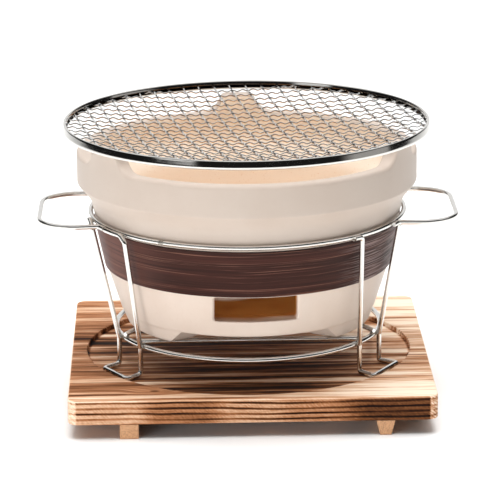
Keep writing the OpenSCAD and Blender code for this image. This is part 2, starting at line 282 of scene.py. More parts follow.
def sweep(path, radii, sides=16, closed=False):
    """A round tube along path, as points and faces. radii is one number or one for each point."""
    path = np.asarray(path, float)
    count = len(path)
    radii = np.broadcast_to(np.asarray(radii, float), (count,))
    ahead = np.roll(path, -1, 0) - path
    behind = path - np.roll(path, 1, 0)
    if not closed:
        ahead[-1] = behind[-1]
        behind[0] = ahead[0]
    along = units(units(ahead) + units(behind))
    x = np.array([0, 0, 1.0]) if abs(along[0][2]) < 0.9 else np.array([1.0, 0, 0])
    angles = np.arange(sides) * 2 * math.pi / sides
    rings = []
    for i in range(count):
        x = unit(x - along[i] * (x @ along[i]))
        y = np.cross(along[i], x)
        rings.append(path[i] + radii[i] * (np.outer(np.cos(angles), x) + np.outer(np.sin(angles), y)))
    faces = quads(count, sides, wrap_rows=True) if closed else capped(count, sides)
    return np.concatenate(rings), faces


def sawn(path, radius, chamfer=0.25 * MM):
    """A tube along path whose sawn ends have a small burr-free chamfer."""
    first, last = unit(path[1] - path[0]), unit(path[-2] - path[-1])
    path = np.concatenate([[path[0], path[0] + first * chamfer], path[1:-1],
                           [path[-1] + last * chamfer, path[-1]]])
    radii = np.full(len(path), radius)
    radii[[0, -1]] = radius - chamfer
    return sweep(path, radii, 18)


def revolve(profile, steps=360, start=0.0, turn=2 * math.pi):
    """A closed (r, z) profile spun about Z. A part turn gets flat ends."""
    whole = abs(turn - 2 * math.pi) < 1e-9
    columns = steps if whole else steps + 1
    angles = start + turn * np.arange(columns) / steps
    r, z = profile[:, 0], profile[:, 1]
    verts = np.stack([np.outer(r, np.cos(angles)), np.outer(r, np.sin(angles)),
                      np.repeat(z[:, None], columns, 1)], -1).reshape(-1, 3)
    faces = quads(len(profile), columns, wrap_rows=True, wrap_columns=whole)
    if not whole:
        faces.append([i * columns for i in range(len(profile))])
        faces.append([i * columns + columns - 1 for i in reversed(range(len(profile)))])
    return verts, faces


def turned(rows, x, y, low, high):
    """Rings of (radius, height) in the directions x, y, with fans to the axis at low and high."""
    rings = [np.stack(np.broadcast_arrays(r * x, r * y, z), -1) for r, z in rows]
    columns = len(x)
    under = len(rows) * columns
    last = under - columns
    after = [*range(1, columns), 0]
    faces = quads(len(rows), columns)
    faces += [[under, k, j] for j, k in enumerate(after)]
    faces += [[under + 1, last + j, last + k] for j, k in enumerate(after)]
    return np.concatenate([*rings, [[0, 0, low], [0, 0, high]]]), faces


def joined(parts):
    """Several (points, faces) as one."""
    verts, faces, base = [], [], 0
    for v, f in parts:
        verts.append(np.asarray(v))
        faces += [[i + base for i in face] for face in f]
        base += len(v)
    return np.concatenate(verts), faces


def shade(data, sharp=40):
    """Smooth shading, broken at edges of more than that many degrees."""
    data.shade_smooth()
    data.set_sharp_from_angle(angle=math.radians(sharp))


def mesh_object(name, verts, faces):
    """An object of points and faces, with its faces turned outwards."""
    data = bpy.data.meshes.new(name)
    data.from_pydata(np.asarray(verts).tolist(), [], faces)
    work = bmesh.new()
    work.from_mesh(data)
    bmesh.ops.recalc_face_normals(work, faces=work.faces)
    work.to_mesh(data)
    work.free()
    shade(data)
    return placed(name, data)


def dressed(made, paint, body, slot, *nodes):
    """The object with its material, the body that it rides on and the nodes it stands for. Its slot is
    not used.
    """
    made.data.materials.clear()
    made.data.materials.append(paint)
    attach(made, body)
    if nodes:
        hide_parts(*nodes)
    return made


def piece(name, shape, *dress):
    """A new object of that shape, dressed."""
    return dressed(mesh_object(name, *shape), *dress)


def mark_points(made, name, values):
    """A value for each point of a mesh, for its material."""
    mark = made.data.attributes.new(name, "FLOAT", "POINT")
    mark.data.foreach_set("value", np.asarray(values, np.float32))


def combine(target, other, operation):
    """Boolean of two objects, kept in the first. The second goes."""
    step = target.modifiers.new("cut", "BOOLEAN")
    step.operation = operation
    step.solver = "EXACT"
    step.object = other
    bpy.context.view_layer.update()
    made = bpy.data.meshes.new_from_object(target.evaluated_get(bpy.context.evaluated_depsgraph_get()))
    target.modifiers.clear()
    target.data = made
    bpy.data.objects.remove(other)


# ---------------------------------------------------------------- materials

def srgb(red, green, blue):
    """A colour given in 0-255 as it looks on a screen."""
    def line(v):
        v /= 255
        return v / 12.92 if v <= 0.04045 else ((v + 0.055) / 1.055) ** 2.4
    return (line(red), line(green), line(blue), 1)


class Nodes:
    """A node tree under construction."""

    def __init__(self, tree):
        self.tree = tree

    def feed(self, socket, value):
        if isinstance(value, bpy.types.NodeSocket):
            self.tree.links.new(value, socket)
        else:
            socket.default_value = value

    def node(self, kind, *values, out=0, **settings):
        """One output of a new node, with values or links for its first sockets."""
        made = self.tree.nodes.new("ShaderNode" + kind)
        for name, value in settings.items():
            setattr(made, name, value)
        for socket, value in zip(made.inputs, values):
            self.feed(socket, value)
        return made.outputs[out]

    def math(self, operation, first, *others):
        """The operation on the first value alone, or with each of the others in turn."""
        if not others:
            return self.node("Math", first, operation=operation)
        for other in others:
            first = self.node("Math", first, other, operation=operation)
        return first

    def plus(self, *values):
        return self.math("ADD", *values)

    def minus(self, *values):
        return self.math("SUBTRACT", *values)

    def times(self, *values):
        return self.math("MULTIPLY", *values)

    def length(self, x, y):
        return self.math("SQRT", self.plus(self.times(x, x), self.times(y, y)))

    def parts(self, vector):
        """Its x, y and z."""
        made = self.tree.nodes.new("ShaderNodeSeparateXYZ")
        self.feed(made.inputs[0], vector)
        return made.outputs

    def fit(self, value, low, high, to_low=0.0, to_high=1.0, smooth=True):
        """The value's way from low to high, as a value between the other two."""
        return self.node("MapRange", value, low, high, to_low, to_high,
                         interpolation_type="SMOOTHSTEP" if smooth else "LINEAR")

    def mix(self, factor, a, b):
        made = self.tree.nodes.new("ShaderNodeMix")
        made.data_type = "RGBA"
        for at, value in ((0, factor), (6, a), (7, b)):
            self.feed(made.inputs[at], value)
        return made.outputs[2]


class Paint(Nodes):
    """A material under construction, around one Principled shader."""

    def __init__(self, name, **sockets):
        self.material = bpy.data.materials.new(name)
        self.material.use_nodes = True
        super().__init__(self.material.node_tree)
        self.shader = self.tree.nodes["Principled BSDF"]
        self.place = self.node("TexCoord", out="Object")
        for socket, value in sockets.items():
            self.put(socket.replace("_", " ").title().replace("Ior", "IOR"), value)

    def put(self, socket, value):
        self.feed(self.shader.inputs[socket], value)

    def mark(self, name):
        return self.node("Attribute", out="Fac", attribute_name=name)

    def vector(self, x, y, z):
        return self.node("CombineXYZ", x, y, z)

    def scaled(self, factors, vector=None):
        return self.node("VectorMath", vector or self.place, factors, operation="MULTIPLY")

    def noise(self, vector, scale, detail=3.0, rough=0.55):
        made = self.tree.nodes.new("ShaderNodeTexNoise")
        for name, value in (("Vector", vector), ("Scale", scale), ("Detail", detail),
                            ("Roughness", rough)):
            self.feed(made.inputs[name], value)
        return made.outputs[0]

    def ramp(self, factor, stops):
        made = self.tree.nodes.new("ShaderNodeValToRGB")
        band = made.color_ramp
        while len(band.elements) < len(stops):
            band.elements.new(0.5)
        for element, (at, colour) in zip(band.elements, stops):
            element.position = at
            element.color = colour
        self.feed(made.inputs[0], factor)
        return made.outputs[0]

    def bump(self, height, strength, distance):
        made = self.tree.nodes.new("ShaderNodeBump")
        for name, value in (("Strength", strength), ("Distance", distance), ("Height", height)):
            self.feed(made.inputs[name], value)
        self.put("Normal", made.outputs[0])


def bright_wire_paint():
    """Bright plated wire: mirror-like, with faint drawing lines and uneven polish."""
    p = Paint("bright_wire", metallic=1.0, base_color=srgb(226, 224, 220))
    cloud = p.noise(p.place, 90, 3)
    p.put("Roughness", p.fit(cloud, 0.3, 0.7, 0.10, 0.24))
    p.bump(p.noise(p.place, 1500, 2), 0.12, 0.05 * MM)
    return p.material


def weld_paint():
    """Spot welds: the same metal, duller and a little scaled."""
    p = Paint("weld_steel", metallic=1.0)
    cloud = p.noise(p.place, 700, 4)
    p.put("Base Color", p.mix(p.fit(cloud, 0.35, 0.7), srgb(150, 146, 140), srgb(205, 200, 192)))
    p.put("Roughness", p.fit(cloud, 0.3, 0.7, 0.3, 0.5))
    p.bump(cloud, 0.5, 0.2 * MM)
    return p.material


def net_paint():
    """Drawn steel wire of the net, with a painted highlight where it crosses on top and painted shade
    beneath.
    """
    p = Paint("net_wire", metallic=1.0)
    cloud = p.noise(p.place, 160, 3)
    steel = p.mix(p.fit(cloud, 0.3, 0.7), srgb(220, 220, 219), srgb(246, 246, 245))
    # painted highlight where a wire crosses on top, painted shade where it crosses beneath
    p.put("Base Color", p.mix(p.fit(p.mark("crest_shading"), 0.45, 0.12), steel, srgb(106, 104, 101)))
    p.put("Roughness", p.fit(cloud, 0.3, 0.7, 0.1, 0.2))
    p.bump(p.noise(p.place, 2600, 2), 0.2, 0.05 * MM)
    return p.material


def rim_paint():
    """The grill's rolled steel edge, with painted shade where it closes on the net."""
    p = Paint("grill_steel", metallic=1.0)
    cloud = p.noise(p.scaled((1, 1, 4)), 60, 3)
    p.put("Roughness", p.fit(cloud, 0.3, 0.7, 0.05, 0.12))
    # painted shade inside the roll, where it closes on the net
    p.put("Base Color", p.mix(p.mark("crevice_shade"), srgb(222, 220, 216), srgb(84, 78, 73)))
    p.bump(p.noise(p.scaled((1, 1, 12)), 300, 2), 0.06, 0.1 * MM)
    return p.material


def glaze_paint():
    """Satin cream glaze outside, with painted shade making it greyer towards its top, and bare tan clay
    where the mesh says inside, with painted shade below the ledge but for two painted pools of light on
    the ash floor."""
    p = Paint("cream_glaze", specular_ior_level=0.45)
    inside = p.mark("inside")
    height = p.parts(p.place)[2]
    cloud = p.noise(p.place, 28, 4)
    fine = p.noise(p.place, 420, 3)
    speck = p.noise(p.place, 900, 2, 0.4)
    cream = p.mix(p.fit(cloud, 0.3, 0.7), srgb(222, 205, 191), srgb(228, 213, 200))
    cream = p.mix(p.fit(fine, 0.55, 0.8, 0, 0.25), cream, srgb(214, 193, 176))
    # painted shade: the cream is mixed towards grey-brown from the band's foot up, half way at its top
    # and above it
    top_shade = p.fit(height, BOWL_Z + BAND_LOW, BOWL_Z + BAND_TOP, 0.0, 0.5)
    cream = p.mix(top_shade, cream, srgb(168, 154, 143))
    clay = p.mix(p.fit(cloud, 0.3, 0.7), srgb(253, 240, 224), srgb(254, 244, 230))
    clay = p.mix(p.fit(speck, 0.62, 0.75, 0, 0.3), clay, srgb(226, 190, 158))
    # painted shade in the chamber below the ledge, deep tan on the clay
    chamber_shade = p.fit(height, BOWL_Z + LEDGE_Z + 4 * MM, BOWL_Z + LEDGE_Z)
    clay = p.mix(chamber_shade, clay, srgb(196, 134, 66))
    # painted pools of light: two pale patches on the ash floor
    for x, y, wide in LIGHT_POOLS:
        aside = p.node("VectorMath", p.place, (x, y, BOWL_Z + ASH_Z), operation="SUBTRACT")
        aside = p.scaled((1 / wide, 1 / LIGHT_POOL_DEEP, 1 / LIGHT_POOL_HIGH), aside)
        away = p.node("VectorMath", aside, out="Value", operation="LENGTH")
        clay = p.mix(p.fit(away, 1.0, 0.45), clay, srgb(252, 240, 226))
    p.put("Base Color", p.mix(inside, cream, clay))
    p.put("Roughness", p.plus(p.fit(cloud, 0.3, 0.7, 0.42, 0.52), p.times(inside, 0.35)))
    p.bump(p.mix(0.35, cloud, fine), 0.18, 0.4 * MM)
    return p.material


def band_paint():
    """Dark stained veneer with a low sheen: long fine grain that runs round the bowl, with painted
    light making it lighter on the left and a painted grey reflection on the right."""
    p = Paint("band_veneer", roughness=0.5, specular_ior_level=0.15)
    x, y, z = p.parts(p.place)
    height = p.plus(z, p.times(p.noise(p.scaled((9, 9, 22)), 1, 2), 0.004))
    flat = p.scaled((5, 5, 260), p.vector(x, y, height))
    broad = p.noise(flat, 1.0, 2)
    lines = p.noise(p.scaled((1.4, 1.4, 4.0), flat), 1.0, 4, 0.7)
    streaking = p.noise(p.scaled((5.0, 5.0, 6.0), flat), 1.0, 2, 0.6)
    tone = p.ramp(broad, [(0.28, srgb(44, 23, 19)), (0.5, srgb(57, 30, 24)), (0.72, srgb(72, 39, 32))])
    # painted light: lighter towards the left, where the key light falls
    tone = p.mix(p.fit(x, -50 * MM, -95 * MM, 0, 0.7), tone, srgb(116, 74, 64))
    tone = p.mix(p.fit(lines, 0.56, 0.64, 0, 0.6), tone, srgb(142, 98, 82))
    tone = p.mix(p.fit(lines, 0.45, 0.36, 0, 0.65), tone, srgb(38, 20, 17))
    # painted reflection: grey streaks towards the right, where a light on the right is mirrored
    wear_and_reflection = p.times(p.fit(streaking, 0.5, 0.6), p.fit(x, 52 * MM, 80 * MM, 0, 0.8))
    p.put("Base Color", p.mix(wear_and_reflection, tone, srgb(150, 128, 124)))
    p.bump(p.plus(lines, p.times(streaking, 0.3)), 0.25, 0.12 * MM)
    return p.material


def grate_paint():
    """Matt fire clay with a sandy grain."""
    p = Paint("bare_clay", roughness=0.9)
    cloud = p.noise(p.place, 45, 4)
    sand = p.noise(p.place, 1100, 3)
    tone = p.mix(p.fit(cloud, 0.3, 0.7), srgb(206, 160, 118), srgb(226, 184, 142))
    p.put("Base Color", p.mix(p.fit(sand, 0.6, 0.75, 0, 0.4), tone, srgb(160, 112, 78)))
    p.bump(sand, 0.4, 0.3 * MM)
    return p.material


def charred_paint():
    """Scorched and brushed softwood: streaks along X on top, dark late wood on the front edge, pale
    where the flame missed it, painted glare over the right and back of the top, a painted highlight
    along the top of the plank's edge, darkest in the front of the recess."""
    p = Paint("charred_wood", specular_ior_level=0.12, roughness=0.7)
    x, y, z = p.parts(p.place)
    top_z = BOARD_HIGH.z
    # the grain runs round a knot at the front left
    knot_x, knot_y = -62 * MM, -96 * MM
    away = p.length(p.minus(x, knot_x), p.times(p.minus(y, knot_y), 2.2))
    bent = p.vector(x, p.plus(y, p.fit(away, 26 * MM, 2 * MM, 0.0, 6 * MM)), z)
    streak = p.noise(p.scaled((4, 80, 40), bent), 1, 6, 0.7)
    fine = p.noise(p.scaled((7, 430, 260), bent), 1, 3, 0.6)
    fibre = p.noise(p.scaled((40, 1500, 1500), bent), 1, 3, 0.6)
    # the top: lighter to the right and to the back, from less burning and from painted glare, and less
    # burnt along the front
    top = p.plus(0.49, p.fit(x, 10 * MM, 95 * MM, 0.0, -0.36), p.fit(y, 0, 90 * MM, 0.0, -0.1),
                 p.fit(y, -88 * MM, -104 * MM, 0.0, -0.1),
                 p.fit(streak, 0.35, 0.65, -0.34, 0.34, smooth=False),
                 p.fit(fine, 0.54, 0.66, 0.0, 0.34), p.fit(away, 4 * MM, 1.6 * MM, 0.0, 0.4))
    # the recess
    radius = p.length(x, y)
    sunk = p.times(p.fit(radius, RECESS_R + 0.4 * MM, RECESS_R - 0.4 * MM),
                   p.fit(z, top_z - 0.2 * MM, top_z - 0.8 * MM))
    wall = p.times(sunk, p.fit(radius, RECESS_R - 2.2 * MM, RECESS_R - 0.7 * MM, 0.0, 0.3))
    middle = p.times(p.fit(p.math("ABSOLUTE", p.minus(x, 6 * MM)), 100 * MM, 35 * MM, 0.0, 0.06),
                     p.fit(y, 10 * MM, -60 * MM))
    burnt = p.plus(middle, p.fit(streak, 0.38, 0.62, -0.2, 0.2, smooth=False))
    top = p.plus(top, wall, p.times(sunk, burnt))
    # the front edge: year rings, saw marks, four steps in tone and pale corners
    bend = p.noise(p.scaled((9, 26, 26)), 1, 3, 0.5)
    year = p.math("FRACT", p.math("DIVIDE", p.plus(z, p.times(bend, 7 * MM)), 3.6 * MM))
    vary = p.noise(p.scaled((14, 50, 200)), 1, 3, 0.6)
    late = p.times(p.fit(p.math("ABSOLUTE", p.minus(year, 0.5)), 0.3, 0.05),
                   p.fit(vary, 0.35, 0.62, 0.3, 1.0))
    brushed = p.noise(p.scaled((900, 0, 420), p.vector(p.plus(x, z), 0.0, z)), 1, 3, 0.6)
    side = p.plus(p.times(late, 0.62), p.fit(brushed, 0.3, 0.7, -0.09, 0.09, smooth=False), 0.25)
    wavy = p.plus(x, p.times(bend, 26 * MM))
    for low, high, change in ((-65, -45, 0.22), (-19, 1, -0.19), (27, 47, 0.12), (63, 91, 0.28)):
        side = p.plus(side, p.fit(wavy, low * MM, high * MM, 0.0, change))
    pale = p.times(p.fit(p.math("ABSOLUTE", x), BOARD_HIGH.x - 6 * MM, BOARD_HIGH.x - 4.5 * MM),
                   p.fit(brushed, 0.36, 0.56, 1.0, 0.5))
    # painted highlight: a lighter band just under the top of the plank's edge
    edge_highlight = p.fit(z, top_z - 1.5 * MM, top_z - 0.9 * MM, 0.0, 0.55)
    side = p.times(side, p.minus(1.0, pale), p.minus(1.0, edge_highlight))
    edge = p.times(p.fit(z, top_z - 0.15 * MM, top_z - 0.45 * MM), p.minus(1.0, sunk),
                   p.fit(radius, RECESS_R + 0.7 * MM, RECESS_R + 1.5 * MM))
    burnt = p.plus(p.times(top, p.minus(1.0, edge)), p.times(side, edge),
                   p.fit(fibre, 0.3, 0.7, -0.07, 0.07))
    p.put("Base Color", p.ramp(burnt, [
        (0.0, srgb(250, 229, 206)), (0.2, srgb(224, 183, 150)), (0.4, srgb(182, 125, 86)),
        (0.6, srgb(124, 76, 44)), (0.8, srgb(68, 38, 19)), (1.0, srgb(28, 14, 7))]))
    p.bump(p.plus(fine, fibre, p.times(edge, late)), 0.4, 0.3 * MM)
    return p.material


def cleat_paint():
    """Sawn softwood of the cleats, with the grain along Y and speckled end grain."""
    p = Paint("bare_wood", roughness=0.75)
    y = p.parts(p.place)[1]
    grain = p.noise(p.scaled((420, 14, 420)), 1, 4, 0.65)
    pores = p.noise(p.scaled((1900, 1900, 1900)), 1, 2, 0.6)
    ends = p.fit(y, BOARD_LOW.y + 1.0 * MM, BOARD_LOW.y + 0.2 * MM)
    tone = p.ramp(grain, [(0.3, srgb(144, 94, 58)), (0.5, srgb(188, 139, 100)),
                          (0.7, srgb(214, 169, 129))])
    tone = p.mix(p.times(ends, 0.6), tone, srgb(214, 166, 126))
    tone = p.mix(p.fit(pores, 0.52, 0.66, 0.0, 0.6), tone, srgb(112, 72, 44))
    scorch = p.fit(p.noise(p.scaled((60, 9, 60)), 1, 2), 0.5, 0.72, 0, 0.7)
    p.put("Base Color", p.mix(p.times(scorch, p.minus(1.0, ends)), tone, srgb(58, 32, 18)))
    p.bump(p.plus(grain, pores), 0.35, 0.25 * MM)
    return p.material


# ---------------------------------------------------------------- bowl

def rim_height(angles):
    """Height of the rim at each angle from the front, with its three lugs."""
    lug = LUG_W / 2
    outline = route([(0, BOWL_H), (lug, BOWL_H), (lug + 4.2 * MM, RIM_Z), (lug + 25 * MM, RIM_Z)],
                    [3.5 * MM, 14 * MM], 5)
    nearest = np.full(len(angles), math.pi * RIM_R)
    for at, wider in LUGS:
        apart = np.abs((angles - math.radians(at) + math.pi) % (2 * math.pi) - math.pi)
        nearest = np.minimum(nearest, apart * RIM_R - wider)
    return np.interp(nearest, outline[:, 0], outline[:, 1])


def bowl_angles():
    """Columns of the bowl's grid, closer together on the slopes of the lugs."""
    found = [np.radians(np.arange(0, 360, 1.0))]
    for at, wider in LUGS:
        slopes = (np.arange(6 * MM, 27 * MM, 0.5 * MM) + wider) / RIM_R
        found += [math.radians(at) + slopes, math.radians(at) - slopes]
    angles = np.sort(np.concatenate(found) % (2 * math.pi))
    keep = np.concatenate([[True], np.diff(angles) > 0.05 * MM / RIM_R])
    return angles[keep]


def bowl_shell():
    """The turned bowl, before its window is cut: rings of points from the underside's middle, up the
    outside, over the rim and down the inside. Also 1 for each point of bare clay."""
    angles = bowl_angles()
    height = rim_height(angles)
    fixed_z = FLANGE_Z + 6 * MM
    wall = [fixed_z + (height - LIP_ROUND - fixed_z) * s for s in np.linspace(0, 1, 8)[1:-1]]
    outside = rounded([(0, FOOT_H, 0), (BASE_R, FOOT_H, 2 * MM), (BELLY_R, BAND_LOW, 90 * MM),
                       (NECK_R, NECK_Z, 16 * MM), (FLANGE_R, FLANGE_Z, 1.8 * MM),
                       (FLANGE_R, fixed_z, 0)], 8)
    inside = rounded([(BORE_R, fixed_z, 0), (BORE_R, FLANGE_Z + 3 * MM, 20 * MM),
                      (NECK_IN, NECK_Z, 20 * MM), (LEDGE_R, LEDGE_Z, 1.2 * MM),
                      (ASH_R, LEDGE_Z, 1.5 * MM), (ASH_R, ASH_Z, 6 * MM), (0, ASH_Z, 0)], 8)
    glazed = [*dense(outside, 4 * MM)[1:], *((FLANGE_R, z) for z in wall)]
    glazed += [(FLANGE_R - a, height - b) for a, b in round_off(LIP_ROUND, 0, 90, 9)]
    glazed.append((RIM_R, height))
    lip = [(BORE_R + a, height - b) for a, b in round_off(LIP_ROUND, 90, 0, 11)]
    # the last three rings of the inner round are bare
    glazed += lip[:-3]
    bare = [*lip[-3:], *((BORE_R, z) for z in reversed(wall)), *dense(inside, 4 * MM)[:-1]]
    verts, faces = turned(glazed + bare, np.sin(angles), -np.cos(angles), FOOT_H, ASH_Z)
    marks = np.repeat([0.0, 1.0], [len(glazed) * len(angles), len(bare) * len(angles)])
    return verts, faces, [*marks, 0.0, 1.0]


def outside_r(z):
    """Radius of the bowl's outside below the band."""
    return BASE_R + (BELLY_R - BASE_R) * (z - FOOT_H) / (BAND_LOW - FOOT_H)


def window_cutter():
    """A rounded slot whose outer edges are soft: widely at its sides, little above and below."""
    side, lip, sill = 2.4 * MM, 0.5 * MM, 1.0 * MM
    columns = 96

    def widened(flare, depth):
        return flare - math.sqrt(max(0.0, flare ** 2 - (flare - min(depth, flare)) ** 2))

    rows = []
    for depth in [*(a for a, b in round_off(side, 22, 90, 9)), 12 * MM, 40 * MM]:
        half = WINDOW_W / 2 + widened(side, depth)
        low = WINDOW_Z - widened(sill, depth)
        high = WINDOW_Z + WINDOW_H + widened(lip, depth)
        corners = ((-half, low), (half, low), (half, high), (-half, high))
        ring = dense(rounded([(x, z, WINDOW_ROUND) for x, z in corners], 12), 3 * MM, closed=True)
        rows.append([(x, depth - math.sqrt(outside_r(z) ** 2 - x ** 2), z) for x, z in ring])
    rows.insert(0, [(x, y - 6 * MM, z) for x, y, z in rows[0]])
    even = []
    for ring in rows:
        ring = np.array(ring + [ring[0]])
        run = np.cumsum(np.linalg.norm(np.diff(ring[:, [0, 2]], axis=0), axis=1))
        run = np.concatenate([[0], run])
        at = np.linspace(0, run[-1], columns, endpoint=False)
        even.append(np.stack([np.interp(at, run, ring[:, k]) for k in range(3)], -1))
    return np.concatenate(even), capped(len(even), columns)


def bowl_foot(turn):
    """A stub foot with sloping ends and soft lower edges, sunk a little into the bowl."""
    low_half, high_half = 24 * MM, 37 * MM
    soft, slope, deep = 1.6 * MM, 3.6 * MM, 20 * MM
    root_z = FOOT_H + 1 * MM
    levels = round_off(soft, 0, 90, 5)
    levels += [(z, 0) for z in np.linspace(soft, FOOT_H + 1.5 * MM, 4)[1:]]
    rows = []
    for z, pull in levels:
        half = low_half + (high_half - low_half) * z / root_z - pull
        out = BASE_R - slope + slope * z / root_z - pull
        inn = BASE_R - deep + pull
        rows.append([(t, -math.sqrt(out ** 2 - t ** 2), z) for t in np.linspace(-half, half, 25)]
                    + [(t, -math.sqrt(inn ** 2 - t ** 2), z) for t in np.linspace(half, -half, 25)])
    return spun(turn, np.concatenate(rows)), capped(len(rows), len(rows[0]))


def build_bowl():
    *shape, bare = bowl_shell()
    bowl = mesh_object("ceramic_bowl", *shape)
    mark_points(bowl, "inside", bare)
    for degrees in (60, 180, 300):
        combine(bowl, mesh_object("foot", *bowl_foot(math.radians(degrees))), "UNION")
    combine(bowl, mesh_object("cutter", *window_cutter()), "DIFFERENCE")
    data = bowl.data
    places = np.empty(len(data.vertices) * 3)
    data.vertices.foreach_get("co", places)
    x, y, z = places.reshape(-1, 3).T
    # The window's own faces: glazed at the outer edge, bare from 4.5 mm in.
    depth = outside_r(z) - np.hypot(x, y)
    jamb = (np.abs(x) < WINDOW_W / 2 + 4 * MM) & (y < 0)
    jamb &= (z > WINDOW_Z - 3 * MM) & (z < WINDOW_Z + WINDOW_H + 2 * MM)
    jamb &= (depth > 0.05 * MM) & (depth < BASE_R - ASH_R + 8 * MM)
    mark = data.attributes["inside"].data
    values = np.empty(len(x), np.float32)
    mark.foreach_get("value", values)
    values[jamb] = np.clip((depth[jamb] - 2.5 * MM) / (2 * MM), 0, 1)
    mark.foreach_set("value", values)
    data.transform(Matrix.Translation((0, 0, BOWL_Z)) @ Matrix.Rotation(BOWL_TURN, 4, "Z"))
    shade(data, 38)
    dressed(bowl, glaze_paint(), "brazier", "cream_glaze", "bowl_body")


def belly_at(z):
    """Radius of the bowl's outside between the band's lower edge and the neck."""
    return BELLY_R + (NECK_R - BELLY_R) * (z - BAND_LOW) / (NECK_Z - BAND_LOW)


def build_band():
    """The veneer strip, with its ends butted at the back."""
    soft = 0.3 * MM
    low = belly_at(BAND_LOW) + BAND_GAP
    high = belly_at(BAND_TOP) + BAND_GAP
    outline = rounded([(low, BAND_LOW, 0), (low + BAND_T, BAND_LOW, soft),
                       (high + BAND_T, BAND_TOP, soft), (high, BAND_TOP, 0)], 30)
    gap = 0.35 * MM / BELLY_R
    profile = dense(outline, 3 * MM, closed=True)
    verts, faces = revolve(profile, 360, math.radians(90) + gap / 2, 2 * math.pi - gap)
    verts = spun(BOWL_TURN, verts) + [0, 0, BOWL_Z]
    piece("veneer_band", (verts, faces), band_paint(), "brazier", "band_veneer", "wood_band")


def build_grate():
    """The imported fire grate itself, with its clay and soft edges."""
    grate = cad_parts["fire_grate"]
    grate.data.materials.clear()
    grate.data.materials.append(grate_paint())
    soften = grate.modifiers.new("soft_edges", "BEVEL")
    soften.width = 0.7 * MM
    soften.segments = 2
    soften.limit_method = "ANGLE"


# ---------------------------------------------------------------- stand

def hoop(radius, z, wire, steps=240):
    """A closed ring of wire."""
    angles = np.arange(steps) * 2 * math.pi / steps
    line = np.stack([radius * np.cos(angles), radius * np.sin(angles), np.full(steps, z)], -1)
    return sweep(line, wire / 2, 20, closed=True)


def across(t, radius):
    """A point of the front radius, t to the side of it."""
    return np.array([t, -math.sqrt(radius ** 2 - t ** 2)])


def hooked(t, hook, rise):
    """A leg's end at t, from its tip to the upright: a lap along the hoop, then the way down."""
    if not hook:
        return [(*across(t, LAP_R), HOOP_Z - WIRE / 2 - WELD)]
    tip, top = across(t - hook, LAP_R), across(t - rise, LAP_R)
    middle = across(t - hook / 2 - rise / 2, LAP_R)
    start = across(t, LAP_R - 0.2 * MM)
    return [(*tip, LAP_Z), (*middle, LAP_Z), (*top, LAP_Z), (*start, LAP_Z - rise)]


def footed(t, skew):
    """Half of a foot loop at t: past the lower ring, down to the board and out along it."""
    down, out = across(t, LOW_OUT), across(t + skew, FOOT_R)
    return [(t, down[1], LOW_Z), (t, down[1], FOOT_Z), (t + skew, out[1], FOOT_Z)]


def leg_line(lean, skews, hooks, rise):
    """Hook, upright, foot loop, upright, hook, across the front radius."""
    top, low = LEG_TOP_W / 2, LEG_LOW_W / 2
    first = hooked(lean - top, hooks[0], rise) + footed(-low, skews[0])
    second = hooked(lean + top, hooks[1], rise) + footed(low, skews[1])
    line = first + second[::-1]
    return route(line, [WIRE_BEND if all(hooks) else BUTT_BEND] * (len(line) - 2))


def handle_line():
    """The right handle: a tail along the hoop, out, along the grip and back in the same way."""
    radius = HOOP_R + WIRE - WELD
    half = [(radius * math.cos(t), -radius * math.sin(t), HOOP_Z)
            for t in (HANDLE_ANGLE + TAIL_ANGLE, HANDLE_ANGLE)]
    half.append((HANDLE_OUT, -(radius * math.sin(HANDLE_ANGLE) + HANDLE_STEP), HOOP_Z))
    points = half + [(x, -y, z) for x, y, z in reversed(half)]
    return route(points, [WIRE_BEND, HANDLE_BEND, HANDLE_BEND, WIRE_BEND])


def build_stand():
    """Each wire as a piece of its own, and all of the weld metal as one."""
    shapes = {name: sawn(spun(math.radians(turn), leg_line(*form)), WIRE / 2)
              for name, (turn, *form) in LEGS.items()}
    shapes["handle_right"] = sawn(handle_line(), WIRE / 2)
    shapes["handle_left"] = sawn(handle_line() * [-1, 1, 1], WIRE / 2)
    bar = np.array([(x, -BAR_OFF, BAR_Z) for x in (-BAR_HALF, 0, BAR_HALF)])
    for name, degrees in BARS.items():
        shapes[name] = sawn(spun(math.radians(degrees), bar), WIRE / 2)
    wire = bright_wire_paint()
    piece("stand_hoop", hoop(HOOP_R, HOOP_Z, WIRE), wire, "stand", "bright_wire", "upper_ring")
    piece("stand_low_ring", hoop(LOW_R, LOW_Z, LOW_WIRE), wire, "stand", "bright_wire", "lower_ring")
    for name, shape in shapes.items():
        piece("stand_" + name, shape, wire, "stand", "bright_wire", name)
    piece("stand_welds", joined(weld_beads()), weld_paint(), "stand", "bright_wire")


def on_ring(radius, degrees, z):
    """A point at that angle round from the front."""
    t = math.radians(degrees)
    return np.array([radius * math.sin(t), -radius * math.cos(t), z])


def bead(a, b, diameter):
    """A short lens of weld metal from a to b."""
    t = np.linspace(0, math.pi, 9)
    centre = a + np.outer((1 - np.cos(t)) / 2, b - a)
    return sweep(centre, np.maximum(0.04 * MM, diameter / 2 * np.sin(t) ** 0.6), 10)


def ring_bead(radius, start, end, z, diameter):
    """A bead along a ring, between two angles."""
    return bead(on_ring(radius, start, z), on_ring(radius, end, z), diameter)


